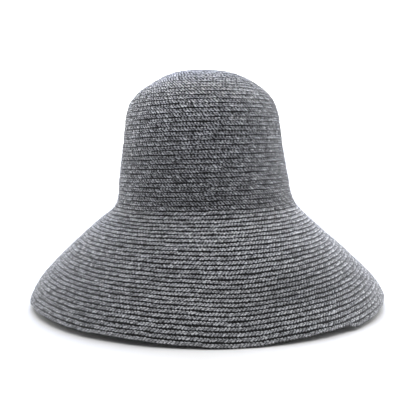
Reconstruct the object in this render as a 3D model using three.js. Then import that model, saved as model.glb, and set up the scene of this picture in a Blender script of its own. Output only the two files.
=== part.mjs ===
import * as THREE from "three";
import { mergeVertices } from "three/addons/utils/BufferGeometryUtils.js";

// A sun hat sewn from one narrow straw braid, in millimetres, +Z up.
// The braid runs in rows from the tip of the crown to the rim, so a place on the hat is given by
// its row, counted from the tip, and its azimuth: 0 is the right side, 90 the back, 180 the left.
// The origin is on the floor under the middle of the rim, and the front faces -Y.

const rowPitch = 4.45; // what shows of each row of braid
const crownRows = 45; // from the tip to the bend at the head
const rimRows = 75; // from the tip to the rim
const wall = 2.2; // braid and overlap together, from the crest of a row to the inside
const crest = 0; // the crest of a row lies on the hat's form
const crevice = -0.75; // between two rows
const crestPlace = 0.72; // how far down its row the crest lies: each row laps over the next one
const seamGap = 0.3; // between the crown's last row and the brim's first
const tip = { x: -5.9, y: -8.2, z: 248.7 }; // the crown leans a little to the left
const sides = 32; // round the hat
const innerStep = 3; // rows between two rings of the smooth inside

// The slope of the wall below the horizontal, in degrees, down each side of the hat.
const slopes = [
  { row: 0, left: 0, right: 1, front: 7, back: 3 },
  { row: 4, left: 8, right: 7, front: 9, back: 8 },
  { row: 8, left: 22, right: 17, front: 12, back: 18 },
  { row: 12, left: 33, right: 29, front: 24, back: 30 },
  { row: 15, left: 34, right: 36, front: 35, back: 35 },
  { row: 18, left: 49, right: 48, front: 52, back: 49 },
  { row: 21, left: 72, right: 69, front: 74, back: 71 },
  { row: 24, left: 82, right: 80, front: 83, back: 81 },
  { row: 28, left: 85, right: 84, front: 85, back: 84 },
  { row: 32, left: 82, right: 80, front: 85, back: 82 },
  { row: 36, left: 83, right: 78, front: 84, back: 80 },
  { row: 40, left: 88, right: 81, front: 83, back: 83 },
  { row: 43, left: 76, right: 70, front: 83, back: 76 },
  { row: 45, left: 47, right: 51, front: 65, back: 54 },
  { row: 47, left: 36, right: 44, front: 45, back: 41 },
  { row: 50, left: 40, right: 42, front: 41, back: 40 },
  { row: 54, left: 42, right: 42, front: 53, back: 43 },
  { row: 58, left: 43, right: 39, front: 56, back: 44 },
  { row: 62, left: 45, right: 43, front: 49, back: 44 },
  { row: 66, left: 46, right: 42, front: 42, back: 44 },
  { row: 70, left: 56, right: 46, front: 57, back: 50 },
  { row: 75, left: 70, right: 66, front: 72, back: 62 },
];

// Waves of the soft brim: how far each lifts the rim, fading to nothing at the bend.
const rimWaves = [
  { azimuth: -135, spread: 28, lift: 2.3 },
  { azimuth: -112, spread: 10, lift: 1.5 },
  { azimuth: -78, spread: 11, lift: -3.5 },
  { azimuth: -45, spread: 28, lift: -3.1 },
  { azimuth: 56, spread: 30, lift: -10.6 },
  { azimuth: 124, spread: 30, lift: -8.1 },
];

// Dents pressed into the brim, square to its surface.
const dents = [
  { azimuth: -64, spread: 17, row: 62, rows: 5.5, depth: 3.5 },
  { azimuth: -148, spread: 16, row: 60, rows: 6, depth: 1.5 },
];

const braidEnd = -43; // azimuth where the braid ends at the rim, a step in the outline
const waveStart = 46; // the row where the brim's waves begin
const rowSteps = 4; // steps a row in adding up the slopes
const degree = Math.PI / 180;

function slopeAt(side, row) {
  const next = slopes.findIndex((section) => section.row >= row);
  if (next <= 0) return slopes.at(next)[side];
  const share = (row - slopes[next - 1].row) / (slopes[next].row - slopes[next - 1].row);
  return THREE.MathUtils.lerp(slopes[next - 1][side], slopes[next][side], share);
}

// The hat's outline on one side: radius and height at every step of arc length from the tip.
function outlineOf(side) {
  const points = [new THREE.Vector2(0, tip.z)];
  const stepLength = rowPitch / rowSteps;
  for (let i = 0; i < (rimRows + 1) * rowSteps; i++) {
    const slope = slopeAt(side, (i + 0.5) / rowSteps) * degree;
    const step = new THREE.Vector2(Math.cos(slope), -Math.sin(slope)).multiplyScalar(stepLength);
    points.push(step.add(points.at(-1)));
  }
  return points;
}

const outlines = {};
for (const side of ["left", "right", "front", "back"]) outlines[side] = outlineOf(side);

// One value of four sides, carried smoothly round the hat.
function roundTheHat(value, azimuth) {
  const mean = (value.left + value.right + value.front + value.back) / 4;
  const sideways = ((value.right - value.left) / 2) * Math.cos(azimuth);
  const endways = ((value.back - value.front) / 2) * Math.sin(azimuth);
  const oval = ((value.left + value.right - value.front - value.back) / 4) * Math.cos(2 * azimuth);
  return mean + sideways + endways + oval;
}

function bump(azimuth, centre, spread) {
  const apart = THREE.MathUtils.euclideanModulo(azimuth / degree - centre + 180, 360) - 180;
  return Math.exp(-((apart / spread) ** 2));
}

function rimRowAt(azimuth) {
  return rimRows - 1 + THREE.MathUtils.euclideanModulo(braidEnd - azimuth / degree, 360) / 360;
}

// The point of the hat at a row and azimuth, and at a height over the braid's crests.
function formPoint(row, azimuth, height) {
  const place = Math.max(row, 0) * rowSteps;
  const step = Math.floor(place);
  const radii = {};
  const heights = {};
  const slant = {};
  for (const side in outlines) {
    const point = outlines[side][step].clone().lerp(outlines[side][step + 1], place - step);
    radii[side] = point.x;
    heights[side] = point.y;
    slant[side] = slopeAt(side, Math.min(row, rimRows));
  }
  const slope = roundTheHat(slant, azimuth) * degree;
  const onBrim = Math.max((row - waveStart) / (rimRows - waveStart), 0) ** 1.5;
  let lift = 0;
  for (const wave of rimWaves) lift += onBrim * wave.lift * bump(azimuth, wave.azimuth, wave.spread);
  let over = height;
  for (const dent of dents) {
    const alongRow = bump(azimuth, dent.azimuth, dent.spread);
    over -= dent.depth * alongRow * Math.exp(-(((row - dent.row) / dent.rows) ** 2));
  }
  const radius = roundTheHat(radii, azimuth) + over * Math.sin(slope);
  return new THREE.Vector3(
    tip.x + radius * Math.cos(azimuth),
    tip.y + radius * Math.sin(azimuth),
    roundTheHat(heights, azimuth) + lift + over * Math.cos(slope),
  );
}

// The section of the wall from one row to another, unrolled: row across, height over the crests up.
// The outside has a crest and a crevice in each row, and the inside is smooth.
function wallSection(firstRow, lastRow, gapAtStart, gapAtEnd) {
  const start = firstRow + gapAtStart / rowPitch;
  const end = lastRow - gapAtEnd / rowPitch;
  const outside = [new THREE.Vector2(start, crevice)];
  for (let row = firstRow; row < lastRow; row++) {
    if (row > firstRow) outside.push(new THREE.Vector2(row, crevice));
    outside.push(new THREE.Vector2(row + crestPlace, crest));
  }
  outside.push(new THREE.Vector2(end, crevice));
  const inside = [];
  for (let row = lastRow; row > firstRow; row -= innerStep) {
    inside.push(new THREE.Vector2(Math.min(row, end), -wall));
  }
  inside.push(new THREE.Vector2(start, -wall));
  return [...outside, ...inside];
}

// A lathed ring of wall, bent from its flat section onto the form of the hat.
function sewnWall(section) {
  const lathed = new THREE.LatheGeometry(section, sides);
  lathed.deleteAttribute("normal");
  lathed.deleteAttribute("uv");
  const body = mergeVertices(lathed, 1e-4);
  const places = body.getAttribute("position");
  for (let i = 0; i < places.count; i++) {
    const azimuth = Math.atan2(places.getZ(i), places.getX(i));
    const flatRow = Math.hypot(places.getX(i), places.getZ(i));
    const taper = THREE.MathUtils.smoothstep(flatRow, rimRows - 1, rimRows);
    const row = flatRow - taper * (rimRows - rimRowAt(azimuth));
    const point = formPoint(row, azimuth, places.getY(i));
    places.setXYZ(i, point.x, point.y, point.z);
  }
  return withoutEmptyFaces(body);
}

// At the tip the lathe leaves faces with no area, which two corners share; they are taken out.
function withoutEmptyFaces(body) {
  const corners = body.getIndex().array;
  const kept = [];
  for (let i = 0; i < corners.length; i += 3) {
    const [a, b, c] = corners.slice(i, i + 3);
    if (a !== b && b !== c && c !== a) kept.push(a, b, c);
  }
  body.setIndex(kept);
  body.computeVertexNormals();
  return body;
}

function strawBraid(colour) {
  return new THREE.MeshStandardMaterial({ color: colour, roughness: 0.85, metalness: 0 });
}

const crownSection = wallSection(0, crownRows, 0, seamGap / 2);
const brimSection = wallSection(crownRows, rimRows, seamGap / 2, 0);

const crown = new THREE.Mesh(sewnWall(crownSection), strawBraid("#6f7076"));
crown.name = "crown";

const brim = new THREE.Mesh(sewnWall([...brimSection, brimSection[0]]), strawBraid("#75757a"));
brim.name = "brim";

const hat = new THREE.Group();
hat.add(crown, brim);

export default hat;
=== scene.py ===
import math

import bmesh
import bpy
import numpy as np
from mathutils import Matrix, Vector


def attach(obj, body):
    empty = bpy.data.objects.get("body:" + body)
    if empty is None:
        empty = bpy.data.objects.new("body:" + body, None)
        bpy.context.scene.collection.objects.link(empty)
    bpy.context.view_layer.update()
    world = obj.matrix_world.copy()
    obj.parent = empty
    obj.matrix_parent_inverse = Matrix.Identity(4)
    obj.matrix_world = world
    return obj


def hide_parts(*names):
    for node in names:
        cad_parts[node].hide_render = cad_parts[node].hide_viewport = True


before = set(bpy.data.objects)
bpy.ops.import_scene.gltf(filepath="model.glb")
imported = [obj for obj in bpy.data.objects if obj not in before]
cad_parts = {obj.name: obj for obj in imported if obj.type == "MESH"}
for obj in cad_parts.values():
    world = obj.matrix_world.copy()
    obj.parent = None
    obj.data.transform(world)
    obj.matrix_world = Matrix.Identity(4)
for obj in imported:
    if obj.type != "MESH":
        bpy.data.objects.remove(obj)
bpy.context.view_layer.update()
print("frame loaded")

# Sizes are in millimetres until a mesh is written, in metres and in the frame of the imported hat.
metre = 0.001

# The form that the braid is sewn to. A place on it is a row, counted from the tip of the crown,
# and an azimuth: 0 is the right side, 90 the back, 180 the left, -90 the front.
hatForm = {
    "rowPitch": 4.45,  # what shows of each row of braid
    "crownRows": 45,  # from the tip to the bend at the head
    "rimRows": 75,  # from the tip to the rim
    "tip": (-5.9, -8.2, 248.7),
    "braidEnd": -43.0,  # azimuth where the braid ends at the rim
    "waveStart": 46,  # the row where the brim's waves begin
    "waveGrowth": 1.5,  # how late they grow towards the rim
    "rowSteps": 4,  # steps a row in adding up the slopes
}

# slope of the wall below the horizontal, in degrees, down each side of the hat
slopes = {
    "row":   (0, 4, 8, 12, 15, 18, 21, 24, 28, 32, 36, 40, 43, 45, 47, 50, 54, 58, 62, 66, 70, 75),
    "left":  (0, 8, 22, 33, 34, 49, 72, 82, 85, 82, 83, 88, 76, 47, 36, 40, 42, 43, 45, 46, 56, 70),
    "right": (1, 7, 17, 29, 36, 48, 69, 80, 84, 80, 78, 81, 70, 51, 44, 42, 42, 39, 43, 42, 46, 66),
    "front": (7, 9, 12, 24, 35, 52, 74, 83, 85, 85, 84, 83, 83, 65, 45, 41, 53, 56, 49, 42, 57, 72),
    "back":  (3, 8, 18, 30, 35, 49, 71, 81, 84, 82, 80, 83, 76, 54, 41, 40, 43, 44, 44, 44, 50, 62),
}
sides = ("left", "right", "front", "back")

# waves of the soft brim: how far each lifts the rim
rimWaves = (
    {"azimuth": -135, "spread": 28, "lift": 2.3},
    {"azimuth": -112, "spread": 10, "lift": 1.5},
    {"azimuth": -78, "spread": 11, "lift": -3.5},
    {"azimuth": -45, "spread": 28, "lift": -3.1},
    {"azimuth": 56, "spread": 30, "lift": -10.6},
    {"azimuth": 124, "spread": 30, "lift": -8.1},
)

# dents pressed into the brim, square to its surface
dents = (
    {"azimuth": -64, "spread": 17, "row": 62, "rows": 5.5, "depth": 3.5},
    {"azimuth": -148, "spread": 16, "row": 60, "rows": 6, "depth": 1.5},
)


def outlineOf(side):
    # radius and height at every step of arc length from the tip
    steps = (hatForm["rimRows"] + 1) * hatForm["rowSteps"]
    middles = (np.arange(steps) + 0.5) / hatForm["rowSteps"]
    slope = np.radians(np.interp(middles, slopes["row"], slopes[side]))
    stepLength = hatForm["rowPitch"] / hatForm["rowSteps"]
    radius = np.concatenate([[0], np.cumsum(np.cos(slope) * stepLength)])
    height = hatForm["tip"][2] - np.concatenate([[0], np.cumsum(np.sin(slope) * stepLength)])
    return radius, height


outlines = {side: outlineOf(side) for side in sides}
outlineRows = np.arange(len(outlines["left"][0])) / hatForm["rowSteps"]


def roundTheHat(value, azimuth):
    # one value of the four sides, carried smoothly round the hat
    left, right, front, back = (value[side] for side in sides)
    mean = (left + right + front + back) / 4
    across = (right - left) / 2 * np.cos(azimuth) + (back - front) / 2 * np.sin(azimuth)
    return mean + across + (left + right - front - back) / 4 * np.cos(2 * azimuth)


def bump(azimuth, place):
    # 1 at the place's azimuth, fading over its spread
    apart = (np.degrees(azimuth) - place["azimuth"] + 180) % 360 - 180
    return np.exp(-((apart / place["spread"]) ** 2))


def patch(row, azimuth, place):
    # 1 at the place, fading over its spread round the hat and over its rows down it
    return bump(azimuth, place) * np.exp(-(((row - place["row"]) / place["rows"]) ** 2))


def formPoint(row, azimuth, height):
    # points on the hat, at a height over the crests of its braid
    onHat = np.clip(row, 0, hatForm["rimRows"])
    radii = {side: np.interp(row, outlineRows, outlines[side][0]) for side in sides}
    levels = {side: np.interp(row, outlineRows, outlines[side][1]) for side in sides}
    slants = {side: np.interp(onHat, slopes["row"], slopes[side]) for side in sides}
    slope = np.radians(roundTheHat(slants, azimuth))

    level = roundTheHat(levels, azimuth)
    downBrim = (row - hatForm["waveStart"]) / (hatForm["rimRows"] - hatForm["waveStart"])
    onBrim = np.clip(downBrim, 0, None) ** hatForm["waveGrowth"]
    for wave in rimWaves:
        level = level + onBrim * wave["lift"] * bump(azimuth, wave)
    over = np.array(height, float)
    for dent in dents:
        over = over - dent["depth"] * patch(row, azimuth, dent)

    radius = roundTheHat(radii, azimuth) + over * np.sin(slope)
    x = hatForm["tip"][0] + radius * np.cos(azimuth)
    y = hatForm["tip"][1] + radius * np.sin(azimuth)
    return np.stack([x, y, level + over * np.cos(slope)], axis=-1)


# The braid: a flat plait that winds from the tip to the rim, each row lapped over the edge of the next.
braid = {
    "width": 6.0,
    "thickness": 1.05,
    "leafPitch": 3.2,  # from one crossing of the strands to the next
    "columns": 3,  # of faces in a leaf
    "leafRelief": 1.1,  # share of the bulge lost in the pits between leaves
    "scallop": 0.42,  # how far the edges draw in at the pits
    "edgePower": 3,  # keeps the drawing in close to the edges
    "wobble": 0.3,  # of hand-guided sewing, along the surface
    "wobbleLengths": (23, 41, 67, 118),
    "heave": 0.16,  # and square to it
    "heaveLengths": (31, 57, 83),
    "startTurn": 0.55,  # where the braid begins, in turns from the tip
    "firstRow": 0.05,  # how close to the tip it comes
    "tipDepth": 0.5,  # share of its depth that it keeps at the tip
    "endTaper": 14.0,  # length that is folded under at its end
    "foldPower": 1.5,  # how late the fold sets in
    "seed": 7,
}

# The braid's section, from its upper edge over the outside and back along the inside. On the crown a
# strand slants one way through both leaves, and on the brim the two leaves meet in a herringbone.
ring = (0, 1 / 6, 2 / 6, 3 / 6, 4 / 6, 5 / 6, 1, 4 / 3, 5 / 3)  # 0 to 1 is the outside, over 1 the inside
middlePoint = ring.index(0.5)  # where the upper leaf meets the lower one
plaits = {
    "crown": {
        "across": (0.0, 0.27, 0.42, 0.62, 0.8, 0.94, 1.0, 0.72, 0.28),
        "depth": (0.85, 1.45, 0.62, 0.55, 0.53, 0.55, 0.7, 0.65, 1.55),  # of the core under the crests
        "bulge": (0.0, 0.75, 1.05, 0.6, 1.05, 0.75, 0.0, -0.9, -0.9),  # of the surface, in half thicknesses
        "slant": (3.0, -3.4),  # how far a strand runs along the braid, upwards and down from the middle
    },
    "brim": {
        "across": (0.0, 0.27, 0.44, 0.62, 0.8, 0.93, 1.0, 0.72, 0.28),
        "depth": (0.85, 1.5, 0.66, 0.56, 0.53, 0.56, 0.75, 0.65, 1.55),
        "bulge": (0.0, 0.75, 1.05, 0.5, 1.05, 0.75, 0.0, -0.9, -0.9),
        "slant": (2.4, 2.0),
    },
}


def azimuthOf(turn):
    # the braid runs clockwise, seen from above, and ends at the rim
    return np.radians(hatForm["braidEnd"]) + 2 * math.pi * (hatForm["rimRows"] - turn)


def wander(place, wavelengths, seed):
    # a smooth seeded wave of about unit height
    phases = np.random.default_rng(seed).uniform(0, 2 * math.pi, len(wavelengths))
    waves = [np.sin(2 * math.pi * place / length + phase) for length, phase in zip(wavelengths, phases)]
    return sum(waves) / math.sqrt(len(waves))


def measureBraid():
    # turns and lengths along the middle of what shows of the braid
    turnStep = 1 / 240
    turns = np.arange(braid["startTurn"], hatForm["rimRows"] + 1e-9, turnStep)
    middle = formPoint(turns - 0.5, azimuthOf(turns), np.zeros_like(turns))
    steps = np.linalg.norm(np.diff(middle, axis=0), axis=1)
    return turns, np.concatenate([[0], np.cumsum(steps)])


braidTurns, braidLengths = measureBraid()
columnLength = braid["leafPitch"] / braid["columns"]


def turnAt(length):
    return np.interp(length, braidLengths, braidTurns)


def columnAt(turn):
    # the first column of a leaf at or before this turn
    leaf = int(np.interp(turn, braidTurns, braidLengths) / braid["leafPitch"])
    return leaf * braid["columns"]


def flatTube(columns, points):
    # a grid rolled round the long way: x counts columns, and the angle counts points of the section
    tube = bmesh.new()
    bmesh.ops.create_grid(tube, x_segments=columns, y_segments=points, size=1)
    for vertex in tube.verts:
        angle = (vertex.co.y + 1) * math.pi
        vertex.co = (round((vertex.co.x + 1) / 2 * columns), math.cos(angle), math.sin(angle))
    seam = [vertex for vertex in tube.verts if vertex.co.y > 1 - 1e-4]
    bmesh.ops.remove_doubles(tube, verts=seam, dist=0.01)
    bmesh.ops.holes_fill(tube, edges=[edge for edge in tube.edges if edge.is_boundary], sides=0)
    return tube


def sewBraid(name, firstTurn, lastTurn, plait):
    # one stretch of the braid as a closed body of its own
    firstColumn, lastColumn = columnAt(firstTurn), columnAt(lastTurn)
    tube = flatTube(lastColumn - firstColumn, len(ring))
    mesh = bpy.data.meshes.new(name)
    tube.to_mesh(mesh)
    tube.free()

    flat = np.empty(len(mesh.vertices) * 3, np.float32)
    mesh.vertices.foreach_get("co", flat)
    flat = flat.reshape(-1, 3).astype(float)
    column = np.rint(flat[:, 0]).astype(int) + firstColumn
    angle = np.arctan2(flat[:, 2], flat[:, 1])
    point = np.rint(angle / (2 * math.pi) * len(ring)).astype(int) % len(ring)
    place = shapeBraid(column, point, plait)
    mesh.vertices.foreach_set("co", (place * metre).astype(np.float32).ravel())

    mapBraid(mesh, column, point)
    # tone is the straw's own tone with painted highlight and painted shade; seam is how dark the painted
    # shade between the rows is
    for attribute, values in (("tone", toneOf(column)), ("seam", seamShadeOf(column))):
        layer = mesh.attributes.new(attribute, "FLOAT", "POINT")
        layer.data.foreach_set("value", values.astype(np.float32))
    mesh.shade_smooth()
    mesh.update()

    piece = bpy.data.objects.new(name, mesh)
    bpy.context.scene.collection.objects.link(piece)
    return piece


def shapeBraid(column, point, plait):
    # the leaves are full at their crests, and thin and drawn in at the pits between them
    across = np.array(plait["across"])[point]
    bulge = np.array(plait["bulge"])[point]
    middle = plait["across"][middlePoint]
    isUpper = across < middle
    inPit = (column + isUpper) % braid["columns"] == 0  # an upper leaf starts a column before a lower one
    relief = np.where(inPit, 1 - braid["leafRelief"], 1.0)
    drawnIn = np.where(inPit, braid["scallop"], 0)
    nearEdge = np.clip(np.abs(across - 0.5) * 2, 0, 1) ** braid["edgePower"]
    width = braid["width"] - 2 * drawnIn * nearEdge

    # the strands slant along the braid, away from the middle
    fromMiddle = np.where(isUpper, 1 - across / middle, (across - middle) / (1 - middle))
    slanted = np.where(isUpper, plait["slant"][0], plait["slant"][1]) * fromMiddle
    length = column * columnLength
    azimuth = azimuthOf(turnAt(length + slanted))
    wobble = braid["wobble"] * wander(length, braid["wobbleLengths"], braid["seed"])
    heave = braid["heave"] * wander(length, braid["heaveLengths"], braid["seed"] + 1)

    # near the end the braid is folded under, so that its lower edge draws up to the row before
    left = braidLengths[-1] - length
    folded = np.clip(1 - left / braid["endTaper"], 0, 1) ** braid["foldPower"]
    lowerEdge = turnAt(length) * hatForm["rowPitch"]
    fromLowerEdge = (1 - across) * width + drawnIn * (across > 0.5)
    down = lowerEdge - fromLowerEdge + wobble - folded * hatForm["rowPitch"] * across

    # at the tip the braid lies flat
    core = heave - np.array(plait["depth"])[point]
    height = core + bulge * relief * braid["thickness"] / 2
    fullness = np.clip(down / braid["width"], 0, 1)
    height = height * fullness + core * (1 - fullness) * braid["tipDepth"]
    row = np.maximum(down / hatForm["rowPitch"], braid["firstRow"])
    return formPoint(row, azimuth, height)


# how much the straw's tone wanders along the braid, and over what lengths
toneWander = {"amount": 0.05, "lengths": (37, 90, 260, 700)}
# painted highlight and painted shade: where the straw is drawn paler or darker than the rest
paintedLightAndShade = (
    {"azimuth": -82, "spread": 62, "row": 14, "rows": 6.5, "change": 1.8},  # painted highlight on the front of the dome
    {"azimuth": -88, "spread": 30, "row": 51, "rows": 5, "change": 0.2},  # painted highlight at the top of the brim's front
    {"azimuth": -120, "spread": 65, "row": 35, "rows": 9, "change": -0.3},  # painted shade on the left front of the crown
    {"azimuth": -90, "spread": 55, "row": 43, "rows": 3.5, "change": -0.25},  # painted shade over the bend
    {"azimuth": -60, "spread": 20, "row": 65, "rows": 4, "change": -0.38},  # painted shade under the deep dent
    {"azimuth": -142, "spread": 22, "row": 68, "rows": 6, "change": -0.15},  # left of the rim
    {"azimuth": -20, "spread": 35, "row": 66, "rows": 7, "change": -0.2},  # right of the rim
)
# painted sheen at the left and right sides, where less of the painted shade between the rows shows
paintedSideSheen = (
    {"azimuth": 0, "spread": 32, "change": -0.5},
    {"azimuth": 180, "spread": 34, "change": -0.55},
)


def toneOf(column):
    # how pale the straw is along the braid, 1 on average: its own tone, with painted highlight and painted
    # shade added
    length = column * columnLength
    turn = turnAt(length)
    tone = 1 + toneWander["amount"] * wander(length, toneWander["lengths"], braid["seed"] + 2)
    for place in paintedLightAndShade:
        tone = tone + place["change"] * patch(turn, azimuthOf(turn), place)
    return tone


def seamShadeOf(column):
    # how dark the painted shade between the rows is along the braid
    azimuth = azimuthOf(turnAt(column * columnLength))
    darkness = np.ones_like(azimuth)
    for place in paintedSideSheen:
        darkness = darkness + place["change"] * bump(azimuth, place)
    return darkness


# where a turn of the braid lies on its strip of the bake's map, in shares of the strip
bakeStrip = {"start": 0.01, "length": 0.97, "ends": 0.995, "margin": 0.02}


def mapBraid(mesh, column, point):
    corner = np.empty(len(mesh.loops), np.int32)
    mesh.loops.foreach_get("vertex_index", corner)
    starts = np.empty(len(mesh.polygons), np.int32)
    mesh.polygons.foreach_get("loop_start", starts)
    totals = np.empty(len(mesh.polygons), np.int32)
    mesh.polygons.foreach_get("loop_total", totals)
    faceOf = np.repeat(np.arange(len(starts)), totals)
    isEnd = totals[faceOf] != 4
    column, point = column[corner], point[corner]
    closing = (point == 0) & (np.maximum.reduceat(point, starts)[faceOf] > 1) & ~isEnd
    point = np.where(closing, len(ring), point)

    # "braid" counts leaves along the plait, and runs round it: 0 to 1 outside, 1 to 2 inside
    layer = mesh.uv_layers.new(name="braid")
    place = np.stack([column / braid["columns"], np.array([*ring, 2.0])[point]], axis=-1)
    layer.data.foreach_set("uv", place.astype(np.float32).ravel())

    # the map for the bake lays every turn out as one strip
    first = np.minimum.reduceat(column, starts)[faceOf]
    turnOf = np.floor(turnAt(first * columnLength))
    alongStrip = bakeStrip["start"] + bakeStrip["length"] * (turnAt(column * columnLength) - turnOf)
    bakeU = np.where(isEnd, bakeStrip["ends"], alongStrip)
    acrossStrip = bakeStrip["margin"] + (1 - 2 * bakeStrip["margin"]) * point / len(ring)
    strips = turnOf.max() - turnOf.min() + 1
    bakeV = (turnOf - turnOf.min() + acrossStrip) / strips
    bake = mesh.uv_layers.new(name="OFBake")
    bake.data.foreach_set("uv", np.stack([bakeU, bakeV], axis=-1).astype(np.float32).ravel())


def linear(colour):
    # an sRGB hex value as linear numbers
    parts = [int(colour[i : i + 2], 16) / 255 for i in (1, 3, 5)]
    return [c / 12.92 if c <= 0.04045 else ((c + 0.055) / 1.055) ** 2.4 for c in parts] + [1.0]


def addNode(tree, kind, settings=(), **inputs):
    # inputs go by name, or by number as i0, and a node given to one stands for its first live output
    node = tree.nodes.new(kind)
    for name, value in dict(settings).items():
        setattr(node, name, value)
    for name, value in inputs.items():
        socket = node.inputs[int(name[1:])] if name[1:].isdigit() else node.inputs[name]
        if isinstance(value, bpy.types.Node):
            value = next(output for output in value.outputs if output.enabled)
        if isinstance(value, bpy.types.NodeSocket):
            tree.links.new(value, socket)
        else:
            socket.default_value = value
    return node


# settings that several nodes share
add = {"operation": "ADD"}
subtract = {"operation": "SUBTRACT"}
multiply = {"operation": "MULTIPLY"}
multiplyAdd = {"operation": "MULTIPLY_ADD"}
smallest = {"operation": "MINIMUM"}
largest = {"operation": "MAXIMUM"}
wholePart = {"operation": "FLOOR"}
smooth = {"interpolation_type": "SMOOTHSTEP"}
flatNoise = {"noise_dimensions": "2D"}


def stir(tree, value, chance, amount):
    # a value moved up or down by a random share of the amount
    share = addNode(tree, "ShaderNodeMath", subtract, i0=chance, i1=0.5)
    return addNode(tree, "ShaderNodeMath", multiplyAdd, i0=share, i1=amount, i2=value)


def awayFrom(tree, value, middle, reach):
    # how far a value lies from the middle, 1 at the reach
    scaled = addNode(tree, "ShaderNodeMath", multiplyAdd, i0=value, i1=1 / reach, i2=-middle / reach)
    return addNode(tree, "ShaderNodeMath", {"operation": "ABSOLUTE"}, i0=scaled)


def overBraid(tree, along, around, length, width):
    # a place on the braid, counted in spots of this length along it and this width across it
    alongSpots = addNode(tree, "ShaderNodeMath", multiply, i0=along, i1=braid["leafPitch"] / length)
    acrossSpots = addNode(tree, "ShaderNodeMath", multiply, i0=around, i1=braid["width"] / width)
    return addNode(tree, "ShaderNodeCombineXYZ", X=alongSpots, Y=acrossSpots)


# Paper straw, twisted into strands and plaited flat: matt and pale grey on the crests of the strands, with
# painted shade near black where they dip under each other and where one row of braid laps over the next,
# and a mottle from strand to strand and fine fibre lines along each.
strawLook = {
    # painted shade, near black, for the crevices between strands and rows
    "crevice": "#040405",
    "dark": "#454648",
    "middle": "#a5a7ab",
    "pale": "#e6e7ea",
    "palest": 0.92,  # reflectance that the straw never passes
    "sway": 1.2,  # how unevenly the leaves follow each other, in leaves
    "ripple": 0.2,  # and how far they stray across the braid
    "strayLength": 4.0,  # of the uneven places, along the braid
    "strayWidth": 2.4,
    "mottle": 0.6,
    "fibres": 1.6,
    "fibreWidth": 0.32,  # drawn coarser than real ones, so that they show
    "fibreLength": 1.2,
    "fibreRelief": 0.4,
    "crossingWidth": 0.08,
    "pinch": 0.35,  # how far the painted shade of the seam reaches into the pits
    "pinchPower": 3.0,
    "seamEdge": (0.82, 1.06),  # where its painted shade begins and is full, 1 at the edge of the bright band
    "relief": 0.35,  # of bump
    "reliefStrength": 0.8,
    "roughness": 0.4,
    "creviceRoughness": 0.95,
    "sheen": 0.1,
    "sheenRoughness": 0.3,
    "specular": 0.6,
}
# what of a row is bright: from where to where on its section, and how much of each leaf; the rest gets
# painted shade, as strong as pit and crossing
rowLooks = {
    "crown": {"band": (0.3, 0.88), "leaf": (0.17, 0.85), "pit": 0.97, "crossing": 0.85},
    "brim": {"band": (0.31, 0.86), "leaf": (0.25, 0.95), "pit": 0.85, "crossing": 0.45},
}


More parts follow.
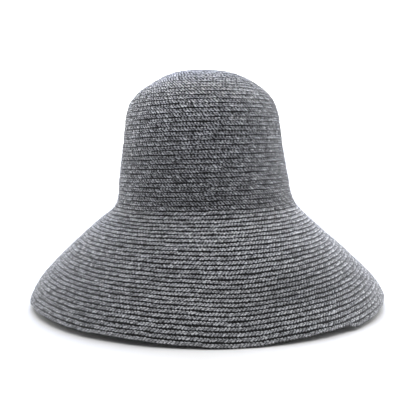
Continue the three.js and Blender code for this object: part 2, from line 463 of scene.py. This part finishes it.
def strawMaterial(name, look, rowLook):
    material = bpy.data.materials.new(name)
    material.use_nodes = True
    tree = material.node_tree
    tree.nodes.clear()
    uv = addNode(tree, "ShaderNodeUVMap", {"uv_map": "braid"})
    parts = addNode(tree, "ShaderNodeSeparateXYZ", Vector=uv)
    along, around = parts.outputs["X"], parts.outputs["Y"]

    # the strands are uneven, so the leaves sway along the braid and ripple across it
    strayPlace = overBraid(tree, along, around, look["strayLength"], look["strayWidth"])
    stray = addNode(tree, "ShaderNodeTexNoise", flatNoise, Vector=strayPlace, Scale=1.0, Detail=1.0)
    strays = addNode(tree, "ShaderNodeSeparateXYZ", Vector=stray.outputs["Color"]).outputs
    back = addNode(tree, "ShaderNodeMath", subtract, i0=2.0, i1=around)
    across = addNode(tree, "ShaderNodeMath", smallest, i0=around, i1=back)
    across = stir(tree, across, strays["Y"], look["ripple"])
    along = stir(tree, along, strays["X"], look["sway"])

    # one cell for each leaf of the plait, where an upper leaf starts a column before a lower one
    isUpper = addNode(tree, "ShaderNodeMath", {"operation": "LESS_THAN"}, i0=across, i1=0.5)
    shift = 1 / braid["columns"]
    leaves = addNode(tree, "ShaderNodeMath", multiplyAdd, i0=isUpper, i1=shift, i2=along)
    leaf = addNode(tree, "ShaderNodeMath", wholePart, i0=leaves)
    face = addNode(tree, "ShaderNodeMath", wholePart, i0=around)
    cell = addNode(tree, "ShaderNodeCombineXYZ", X=leaf, Y=isUpper, Z=face)
    chance = addNode(tree, "ShaderNodeTexWhiteNoise", {"noise_dimensions": "3D"}, Vector=cell)

    # painted shade between the leaves, where they cross in the middle, and between the rows
    inLeaf = addNode(tree, "ShaderNodeMath", {"operation": "FRACT"}, i0=leaves)
    offCrest = awayFrom(tree, inLeaf, 0.5, 0.5)
    begins, full = rowLook["leaf"]
    depths = {"i1": begins, "i2": full, "i4": rowLook["pit"]}
    pit = addNode(tree, "ShaderNodeMapRange", smooth, i0=offCrest, **depths)
    offCrossing = awayFrom(tree, across, 0.5, 1.0)
    depths = {"i1": look["crossingWidth"], "i2": 0.0, "i4": rowLook["crossing"]}
    crossing = addNode(tree, "ShaderNodeMapRange", smooth, i0=offCrossing, **depths)
    upperEdge, lowerEdge = rowLook["band"]
    offBand = awayFrom(tree, across, (upperEdge + lowerEdge) / 2, (lowerEdge - upperEdge) / 2)
    atPit = addNode(tree, "ShaderNodeMath", {"operation": "POWER"}, i0=offCrest, i1=look["pinchPower"])
    scalloped = addNode(tree, "ShaderNodeMath", multiplyAdd, i0=atPit, i1=look["pinch"], i2=offBand)
    begins, full = look["seamEdge"]
    edge = addNode(tree, "ShaderNodeMapRange", smooth, i0=scalloped, i1=begins, i2=full)
    # how dark the painted shade between the rows is, lighter at the sides by the painted sheen
    darkness = addNode(tree, "ShaderNodeAttribute", {"attribute_name": "seam"}).outputs["Fac"]
    seam = addNode(tree, "ShaderNodeMath", multiply, i0=edge, i1=darkness)
    inRow = addNode(tree, "ShaderNodeMath", largest, i0=pit, i1=crossing)
    depth = addNode(tree, "ShaderNodeMath", largest, i0=seam, i1=inRow)

    # fibres run with the strand, across the braid, so a fibre's width lies along it
    fibrePlace = overBraid(tree, leaves, around, look["fibreWidth"], look["fibreLength"])
    fibre = addNode(tree, "ShaderNodeTexNoise", flatNoise, Vector=fibrePlace, Scale=1.0, Detail=2.0)

    # the straw's own colour from strand to strand, with painted shade near black in the depths
    shade = stir(tree, 0.5, chance, look["mottle"])
    shade = stir(tree, shade, fibre, look["fibres"])
    ramp = addNode(tree, "ShaderNodeValToRGB", i0=shade)
    stops = ramp.color_ramp.elements
    stops[0].position, stops[0].color = 0.0, linear(look["dark"])
    stops[1].position, stops[1].color = 1.0, linear(look["pale"])
    stops.new(0.5).color = linear(look["middle"])
    # the straw's own tone, with painted highlight and painted shade in it
    tone = addNode(tree, "ShaderNodeAttribute", {"attribute_name": "tone"}).outputs["Fac"]
    toned = addNode(tree, "ShaderNodeVectorMath", {"operation": "SCALE"}, i0=ramp, Scale=tone)
    toned = addNode(tree, "ShaderNodeVectorMath", smallest, i0=toned, i1=[look["palest"]] * 3)
    # painted shade, mixed in where the crevices are
    crevice = linear(look["crevice"])
    colour = addNode(tree, "ShaderNodeMix", {"data_type": "RGBA"}, i0=depth, i6=toned, i7=crevice)

    crest = addNode(tree, "ShaderNodeMath", subtract, i0=1.0, i1=depth)
    height = addNode(tree, "ShaderNodeMath", multiplyAdd, i0=fibre, i1=look["fibreRelief"], i2=crest)
    stand = look["relief"] * metre
    relief = addNode(tree, "ShaderNodeBump", Strength=look["reliefStrength"], Distance=stand, Height=height)
    plain = look["roughness"]
    rise = look["creviceRoughness"] - plain
    roughness = addNode(tree, "ShaderNodeMath", multiplyAdd, i0=depth, i1=rise, i2=plain)
    skin = {
        "Base Color": colour,
        "Roughness": roughness,
        "Normal": relief,
        "Sheen Weight": look["sheen"],
        "Sheen Roughness": look["sheenRoughness"],
        "Specular IOR Level": look["specular"],
    }
    surface = addNode(tree, "ShaderNodeBsdfPrincipled", **skin)
    addNode(tree, "ShaderNodeOutputMaterial", Surface=surface)
    return material


straws = {
    "crown": strawMaterial("paperStrawOfCrown", strawLook, rowLooks["crown"]),
    "brim": strawMaterial("paperStrawOfBrim", strawLook, rowLooks["brim"]),
}

# the one braid in five stretches: first and last turn, the node it stands for, and its finish
bend, rim = hatForm["crownRows"], hatForm["rimRows"]
braidStretches = {
    "crownTop": {"turns": (braid["startTurn"], 31.5), "node": "crown", "slot": "crown_braid"},
    "crownSide": {"turns": (31.5, bend), "node": "crown", "slot": "crown_braid"},
    "brimUpper": {"turns": (bend, 57.5), "node": "brim", "slot": "brim_braid"},
    "brimMiddle": {"turns": (57.5, 67.0), "node": "brim", "slot": "brim_braid"},
    "brimOuter": {"turns": (67.0, rim), "node": "brim", "slot": "brim_braid"},
}
for name, stretch in braidStretches.items():
    firstTurn, lastTurn = stretch["turns"]
    piece = sewBraid(name, firstTurn, lastTurn, plaits[stretch["node"]])
    piece.data.materials.append(straws[stretch["node"]])
    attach(piece, "root")
    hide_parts(stretch["node"])
    print(name, "sewn:", len(piece.data.polygons), "faces")


# A plain pale floor in a soft studio: large bright screens at the left and right behind the hat, one
# broad light overhead and one high behind it.
studio = {
    "floorColour": "#f0f0f0",
    "floorRoughness": 0.9,
    "floorSize": 30.0,  # in metres
    "ambient": 0.12,
    "screenEdge": (0.3, 0.95),  # cosines between which a screen's brightness rises
}
screens = {
    "left": {"towards": (-0.8, 0.6, 0.0), "brightness": 2.4},
    "right": {"towards": (0.8, 0.6, 0.0), "brightness": 3.25},
}
# tilt about the left-right axis and angular width, in degrees
lamps = {
    "overhead": {"tilt": 18.0, "width": 40.0, "strength": 1.7, "colour": "#fdfdff"},
    "behind": {"tilt": -50.0, "width": 40.0, "strength": 2.5, "colour": "#cbd8ff"},
}

scene = bpy.context.scene
floorMesh = bpy.data.meshes.new("floor")
floorGrid = bmesh.new()
bmesh.ops.create_grid(floorGrid, x_segments=1, y_segments=1, size=studio["floorSize"] / 2)
floorGrid.to_mesh(floorMesh)
floorGrid.free()
floor = bpy.data.objects.new("floor", floorMesh)
scene.collection.objects.link(floor)
floorPaint = bpy.data.materials.new("paleFloor")
floorPaint.use_nodes = True
floorSurface = floorPaint.node_tree.nodes["Principled BSDF"]
floorSurface.inputs["Base Color"].default_value = linear(studio["floorColour"])
floorSurface.inputs["Roughness"].default_value = studio["floorRoughness"]
floorMesh.materials.append(floorPaint)

world = bpy.data.worlds.new("studio")
scene.world = world
world.use_nodes = True
sky = world.node_tree
background = sky.nodes["Background"]
background.inputs["Color"].default_value = linear("#ffffff")
direction = addNode(sky, "ShaderNodeTexCoord").outputs["Generated"]
light = studio["ambient"]
low, high = studio["screenEdge"]
for screen in screens.values():
    towards, bright = screen["towards"], screen["brightness"]
    cosine = addNode(sky, "ShaderNodeVectorMath", {"operation": "DOT_PRODUCT"}, i0=direction, i1=towards)
    glow = addNode(sky, "ShaderNodeMapRange", smooth, i0=cosine, i1=low, i2=high, i4=bright)
    light = addNode(sky, "ShaderNodeMath", add, i0=glow, i1=light)
# beyond the floor the studio is plain white
isSeen = addNode(sky, "ShaderNodeLightPath").outputs["Is Camera Ray"]
light = addNode(sky, "ShaderNodeMath", largest, i0=light, i1=isSeen)
sky.links.new(light.outputs[0], background.inputs["Strength"])

for name, plan in lamps.items():
    lamp = bpy.data.lights.new(name, "SUN")
    lamp.angle = math.radians(plan["width"])
    lamp.energy = plan["strength"]
    lamp.color = linear(plan["colour"])[:3]
    lampObject = bpy.data.objects.new(name, lamp)
    scene.collection.objects.link(lampObject)
    lampObject.rotation_euler = (math.radians(plan["tilt"]), 0, 0)
print("studio lit")


# The camera stands in front of the hat, a little above the middle of the crown.
cameraPlan = {
    "place": (1.0, -702.5, 174.4),
    "pitchDown": 6.06,
    "focalPixels": 643.5,
    "framePixels": 416,
    "sensor": 36.0,
    "clip": (0.01, 100),  # in metres
}
cameraData = bpy.data.cameras.new("camera")
cameraData.sensor_width = cameraPlan["sensor"]
cameraData.lens = cameraPlan["sensor"] * cameraPlan["focalPixels"] / cameraPlan["framePixels"]
cameraData.clip_start, cameraData.clip_end = cameraPlan["clip"]
camera = bpy.data.objects.new("camera", cameraData)
scene.collection.objects.link(camera)
camera.location = Vector(cameraPlan["place"]) * metre
camera.rotation_euler = (math.radians(90 - cameraPlan["pitchDown"]), 0, 0)
scene.camera = camera
scene.view_settings.view_transform = "Standard"
